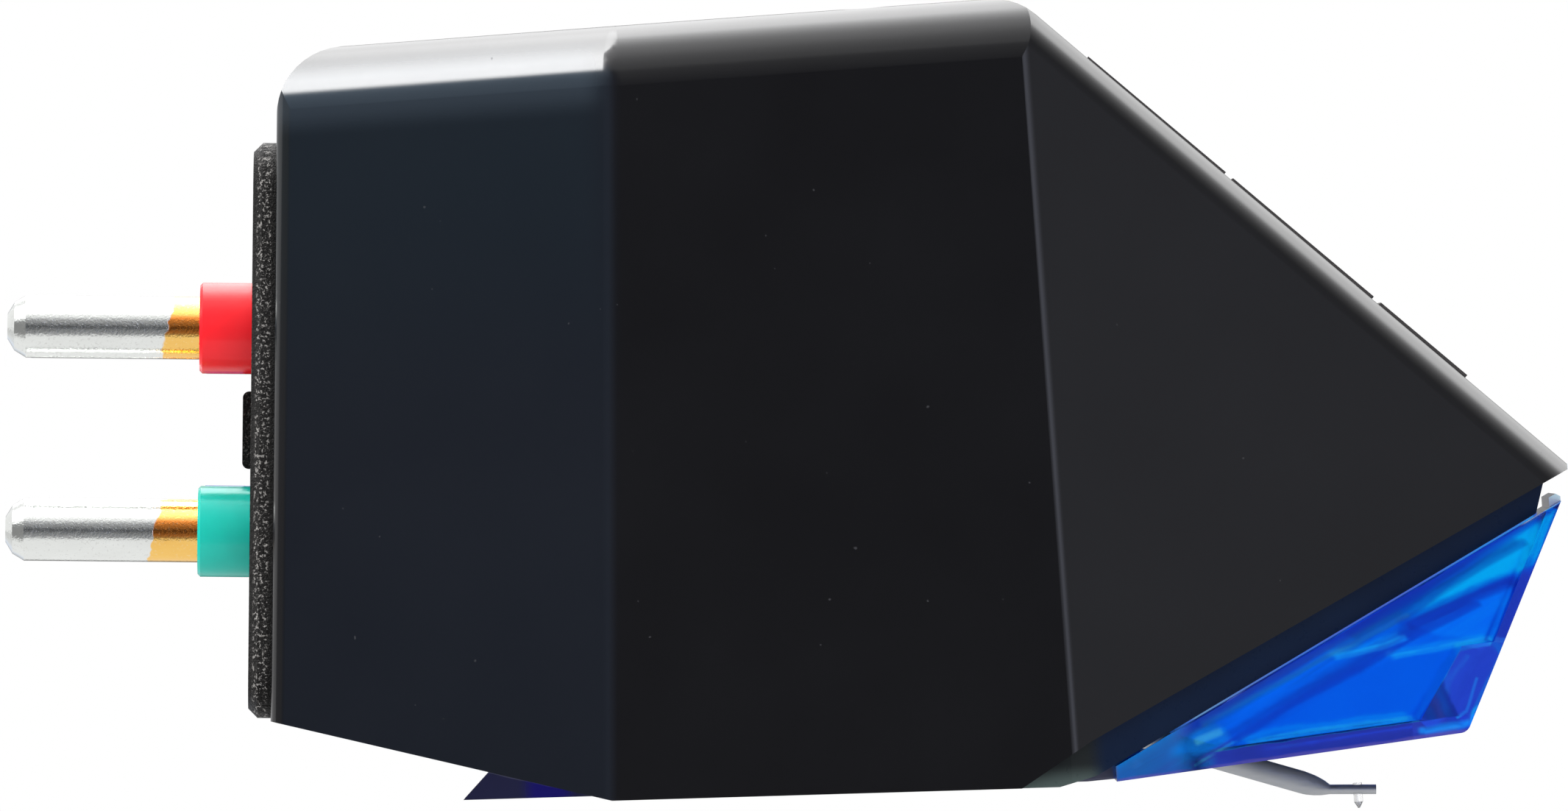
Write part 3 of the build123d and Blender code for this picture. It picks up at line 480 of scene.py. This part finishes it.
# how far the grain of a metal is stretched along each axis
EVEN, DRAWN_X, DRAWN_Z = (1, 1, 1), (0.2, 1, 1), (1, 1, 0.3)
LOOKS = {
    "housing_black": housing_black(),
    "chassis_navy": chassis_navy(),
    "plate_grain": plate_grain(),
    "pin_metal": pin_metal(),
    "sleeve_white": sleeve("sleeve_white", (0.72, 0.71, 0.68), (0.82, 0.81, 0.79)),
    "sleeve_blue": sleeve("sleeve_blue", (0.01, 0.07, 0.50), (0.02, 0.11, 0.62)),
    "sleeve_red": sleeve("sleeve_red", (0.88, 0.004, 0.013), (0.97, 0.009, 0.019)),
    "sleeve_green": sleeve("sleeve_green", (0.0, 0.44, 0.36), (0.0, 0.53, 0.43)),
    "bobbin_plastic": plastic("bobbin_plastic", (0.55, 0.52, 0.46), (0.66, 0.63, 0.57), 0.4, 1.5),
    "copper": copper(),
    "soft_iron": metal("soft_iron", (0.30, 0.29, 0.28), (0.46, 0.45, 0.43), 0.3, 3.0, DRAWN_X),
    "shield_metal": metal(
        "shield_metal", (0.40, 0.39, 0.37), (0.55, 0.54, 0.52), 0.28, 2.0, DRAWN_X),
    "stylus_blue": stylus_blue(),
    "brass": metal("brass", (0.60, 0.42, 0.16), (0.75, 0.56, 0.25), 0.25, 4.0, DRAWN_Z),
    "steel_wire": metal("steel_wire", (0.42, 0.42, 0.42), (0.58, 0.58, 0.58), 0.25, 8.0, DRAWN_X),
    "damper_rubber": plastic(
        "damper_rubber", (0.012, 0.012, 0.013), (0.03, 0.03, 0.03), 0.6, 6.0),
    "magnet_metal": metal("magnet_metal", (0.34, 0.33, 0.32), (0.46, 0.45, 0.44), 0.35, 6.0, EVEN),
    "cantilever_aluminium": metal(
        "cantilever_aluminium", (0.33, 0.342, 0.362), (0.47, 0.480, 0.500), 0.42, 6.0, DRAWN_X,
        metallic=0.6),
    "diamond": diamond(),
}
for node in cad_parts.values():
    for place in node.material_slots:
        place.material = LOOKS[place.material.name.split(".")[0]]


def bolt_thread(name, y):
    """Thread of a mounting hole: one ridge that winds down the bore and fades out at both ends."""
    start, pitch, turns, steps = -0.35, 0.45, 9, 24
    rise, half_base, sunk = 0.10, 0.17, 0.02
    root = BOLT_BORE + sunk
    mesh = bmesh.new()
    rings = []
    for i in range(turns * steps + 1):
        angle = 2 * math.pi * i / steps
        fade = min(1.0, i / steps, turns - i / steps)
        middle = start - pitch * i / steps
        crest = BOLT_BORE - rise * fade
        ring = []
        for radius, z in ((root, middle + half_base), (crest, middle), (root, middle - half_base)):
            spot = (radius * math.cos(angle) * MM, radius * math.sin(angle) * MM, z * MM)
            ring.append(mesh.verts.new(spot))
        rings.append(ring)
    for one, two in zip(rings, rings[1:]):
        for k in range(3):
            mesh.faces.new((one[k], two[k], two[k - 1], one[k - 1]))
    mesh.faces.new(rings[0])
    mesh.faces.new(rings[-1])
    bmesh.ops.recalc_face_normals(mesh, faces=mesh.faces)
    data = bpy.data.meshes.new(name)
    mesh.to_mesh(data)
    mesh.free()
    data.materials.append(LOOKS["housing_black"])
    piece = bpy.data.objects.new(name, data)
    bpy.context.collection.objects.link(piece)
    piece.location = (0, y * MM, 0)
    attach(piece, "cartridge_body")


def floor():
    """Pale floor that fades out at its rim, and is clear from below and in reflections."""
    radius, height = 0.09, -0.0235
    bpy.ops.mesh.primitive_circle_add(
        vertices=96, radius=radius, fill_type="NGON", location=(0, 0, height))
    disc = bpy.context.object
    disc.name = "floor"
    mat = bpy.data.materials.new("floor")
    mat.use_nodes = True
    g = Graph(mat.node_tree)
    place = g.add("ShaderNodeTexCoord").outputs["Object"]
    out_from_middle = g.add("ShaderNodeVectorMath", place, operation="LENGTH").outputs["Value"]
    rim = g.step(out_from_middle, 0.03, 0.085)
    path = g.add("ShaderNodeLightPath").outputs
    below = g.add("ShaderNodeNewGeometry").outputs["Backfacing"]
    matt = g.add("ShaderNodeBsdfDiffuse", grey(0.86)).outputs[0]
    glow = g.add("ShaderNodeEmission", grey(1.0)).outputs[0]
    lift = g.times(path["Is Camera Ray"], 0.55)
    pale = g.add("ShaderNodeMixShader", lift, matt, glow).outputs[0]
    clear = g.add("ShaderNodeBsdfTransparent").outputs[0]
    gone = g.either(rim, g.either(below, path["Is Glossy Ray"]))
    whole = g.add("ShaderNodeMixShader", gone, pale, clear).outputs[0]
    g.add("ShaderNodeOutputMaterial", whole)
    disc.data.materials.append(mat)


def studio():
    """White surroundings. In reflections they are a room, darker on the photographer's side."""
    world = bpy.data.worlds.new("studio")
    bpy.context.scene.world = world
    world.use_nodes = True
    world.cycles.sampling_method = "NONE"
    g = Graph(world.node_tree)
    direction = g.add("ShaderNodeTexCoord").outputs["Generated"]
    x, y, z = g.add("ShaderNodeSeparateXYZ", direction).outputs
    # turn in degrees from the photographer's side over the top to the backdrop, or negative below
    turn = g.times(g.math("ARCTAN2", z, g.times(y, -1.0)), 180 / math.pi)
    room = g.ramp(turn, -180.0, 180.0, [
        (-180.0, 1.0), (-40.0, 0.95), (-31.5, 0.90), (-29.0, 0.40), (-14.0, 0.28), (-8.0, 0.22),
        (-3.0, 0.07), (3.0, 0.07), (8.0, 0.24), (14.0, 0.30), (24.0, 0.42), (29.0, 0.50),
        (31.5, 0.88), (40.0, 1.03), (52.0, 1.5), (64.0, 2.3), (78.0, 3.1), (92.0, 5.0),
        (109.0, 7.8), (119.0, 6.7), (131.0, 5.2), (146.0, 3.6), (160.0, 2.0), (172.0, 1.0),
        (180.0, 1.0),
    ])
    # across the photographer's side: bluish to the left, a paler strip to the right
    across = g.ramp(x, -1.0, 1.0, [
        (-1.0, 0.35), (-0.80, 0.25), (-0.65, (0.12, 0.15, 0.21)), (-0.52, (0.15, 0.21, 0.33)),
        (-0.47, (0.16, 0.22, 0.35)), (-0.36, (0.24, 0.32, 0.48)), (-0.20, (0.14, 0.16, 0.22)),
        (-0.08, 0.06), (0.10, 0.08), (0.24, (1.20, 1.25, 1.50)), (0.38, (1.20, 1.25, 1.50)),
        (0.50, (0.42, 0.43, 0.48)), (0.68, (0.40, 0.41, 0.45)), (1.0, 0.8),
    ])
    facing = g.times(g.step(turn, 42.0, 20.0), g.step(turn, -32.0, -24.0))
    wide = g.step(g.math("ABSOLUTE", x), 0.06, 0.20)
    room = g.mix(g.times(facing, wide), room, across)
    # less light high on the right, a dark end of the room on the far left
    dim = g.times(g.step(x, 0.60, 0.80), g.step(turn, 130.0, 95.0))
    room = g.mix(g.times(dim, 0.5), room, grey(0.0))
    dark_end = g.times(g.step(x, -0.70, -0.85), g.step(g.math("ABSOLUTE", z), 0.5, 0.3))
    room = g.mix(dark_end, room, grey(0.30))
    # a gap between the lights overhead, to the right, and a dull far right end
    gap = g.times(g.step(x, 0.12, 0.25), g.step(x, 0.70, 0.60), g.band(turn, 90.0, 16.0, 12.0))
    room = g.mix(g.either(gap, g.step(x, 0.90, 0.95)), room, grey(0.45))
    # behind the part: the same kind of paler and darker strips along the horizon
    strips = g.ramp(x, -1.0, 1.0, [
        (-1.0, 0.60), (-0.70, 0.85), (-0.45, (0.85, 0.92, 1.05)), (-0.20, 0.55), (-0.05, 0.28),
        (0.10, 0.28), (0.28, 1.10), (0.40, 1.10), (0.55, 0.55), (0.75, 0.60), (1.0, 1.0),
    ])
    behind = g.times(g.step(y, 0.20, 0.40), g.step(z, -0.60, -0.45), g.step(z, 0.30, 0.16))
    room = g.mix(behind, room, strips)
    # white wall far behind on the left
    wall = g.times(g.step(x, -0.24, -0.40), g.step(turn, 95.0, 115.0))
    room = g.mix(wall, room, grey(1.0))
    # glow under the softbox on the left
    left = g.times(g.step(x, -0.20, -0.40), g.step(x, -0.80, -0.65))
    halo = g.times(left, g.step(turn, 0.0, 34.0), g.step(turn, 48.0, 40.0))
    room = g.mix(halo, room, (0.75, 0.98, 1.25))
    # softbox above on the left, a strip that bends back overhead and dims on the way
    lean = g.math("COSINE", g.times(turn, math.pi / 180))
    bend = g.math("DIVIDE", x, g.either(g.math("MULTIPLY_ADD", lean, 0.5, 0.5), 0.05))
    slant = g.math("ADD", bend, g.step(turn, 112.0, 54.0, 0.0, 0.39))
    box = g.times(g.step(slant, -0.02, -0.10), g.step(bend, -0.64, -0.57))
    box = g.times(box, g.step(turn, 34.0, 41.0), g.step(z, 0.25, 0.45), g.step(turn, 150.0, 120.0))
    strong = g.ramp(turn, 0.0, 180.0, [
        (0.0, 24.0), (60.0, 24.0), (75.0, 20.0), (90.0, 15.5), (105.0, 12.0), (122.0, 9.0),
        (140.0, 5.0), (150.0, 4.0),
    ])
    room = g.mix(box, room, strong)
    # the room shows in reflections, even light falls on the part, and the rest sees white
    path = g.add("ShaderNodeLightPath").outputs
    light = g.mix(path["Is Glossy Ray"], grey(0.80), room)
    seen = g.either(path["Is Camera Ray"], path["Is Transmission Ray"])
    light = g.mix(seen, light, grey(1.0))
    g.add("ShaderNodeOutputWorld", g.add("ShaderNodeBackground", light).outputs[0])


def lamp(name, at, size, power):
    """Soft lamp aimed at the middle of the part, and not seen itself."""
    aim = Vector((0, 0, -0.008))
    data = bpy.data.lights.new(name, "AREA")
    data.shape = "RECTANGLE"
    data.size, data.size_y = size
    data.energy = power
    thing = bpy.data.objects.new(name, data)
    bpy.context.collection.objects.link(thing)
    thing.location = at
    thing.rotation_euler = (aim - Vector(at)).to_track_quat("-Z", "Y").to_euler()
    thing.visible_glossy = False
    thing.visible_camera = False


def camera():
    """Level with the part, square to its right side and rolled as the photograph is."""
    lens, sensor, wide = 850.0, 36.0, 33.81 * MM
    roll = math.radians(4.105)
    middle = Vector((-2.32 * MM, -5.0 * MM, -8.40 * MM))
    distance = wide / sensor * lens
    data = bpy.data.cameras.new("camera")
    data.lens, data.sensor_width = lens, sensor
    data.clip_start, data.clip_end = 0.05, 10.0
    thing = bpy.data.objects.new("camera", data)
    bpy.context.collection.objects.link(thing)
    right = Vector((math.cos(roll), 0, -math.sin(roll)))
    up = Vector((math.sin(roll), 0, math.cos(roll)))
    back = Vector((0, -1, 0))
    turn = Matrix((right, up, back)).transposed().to_4x4()
    thing.matrix_world = Matrix.Translation(middle + back * distance) @ turn
    bpy.context.scene.camera = thing


bolt_thread("bolt_thread_left", BOLT_Y)
bolt_thread("bolt_thread_right", -BOLT_Y)
floor()
studio()
camera()
lamp("key", (-0.28, -0.10, 0.36), (0.30, 0.40), 2.2)
lamp("fill", (0.15, -0.50, 0.05), (0.40, 0.40), 1.2)

view = bpy.context.scene.view_settings
view.view_transform = "Standard"
